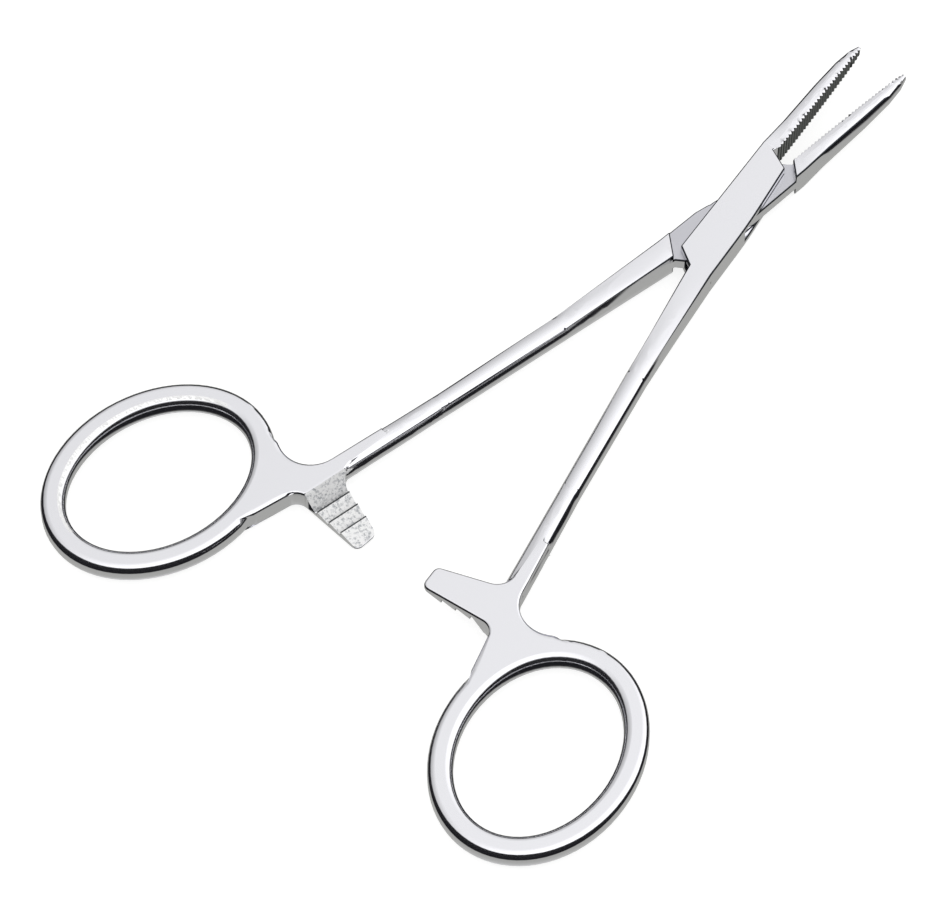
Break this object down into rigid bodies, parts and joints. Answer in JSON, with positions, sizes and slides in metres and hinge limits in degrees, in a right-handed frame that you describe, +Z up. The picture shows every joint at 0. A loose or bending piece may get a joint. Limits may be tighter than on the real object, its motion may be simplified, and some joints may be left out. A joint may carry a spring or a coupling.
{
  "type": "hemostatic forceps",
  "caption": "Straight locking forceps with slim serrated jaws, a box joint, two finger rings and an interlocking ratchet.",
  "frame": {"origin": "the box joint's axis where it meets the underside of the box", "axes": "+Y towards the jaw tips, +X towards the outer half's finger ring, +Z up along the joint pin"},
  "size_m": [0.0844, 0.1231, 0.0037],
  "materials": {
    "steel": "polished"
  },
  "bodies": {
    "outer_half": {"outer_half": "steel", "joint_pin": "steel"},
    "inner_half": {"inner_half": "steel"}
  },
  "joints": [
    {"name": "box_joint", "type": "hinge", "parent": "outer_half", "child": "inner_half", "pos_m": [0, 0, 0], "axis": [0, 0, -1], "range_deg": [-11.6, 30.4]}
  ]
}
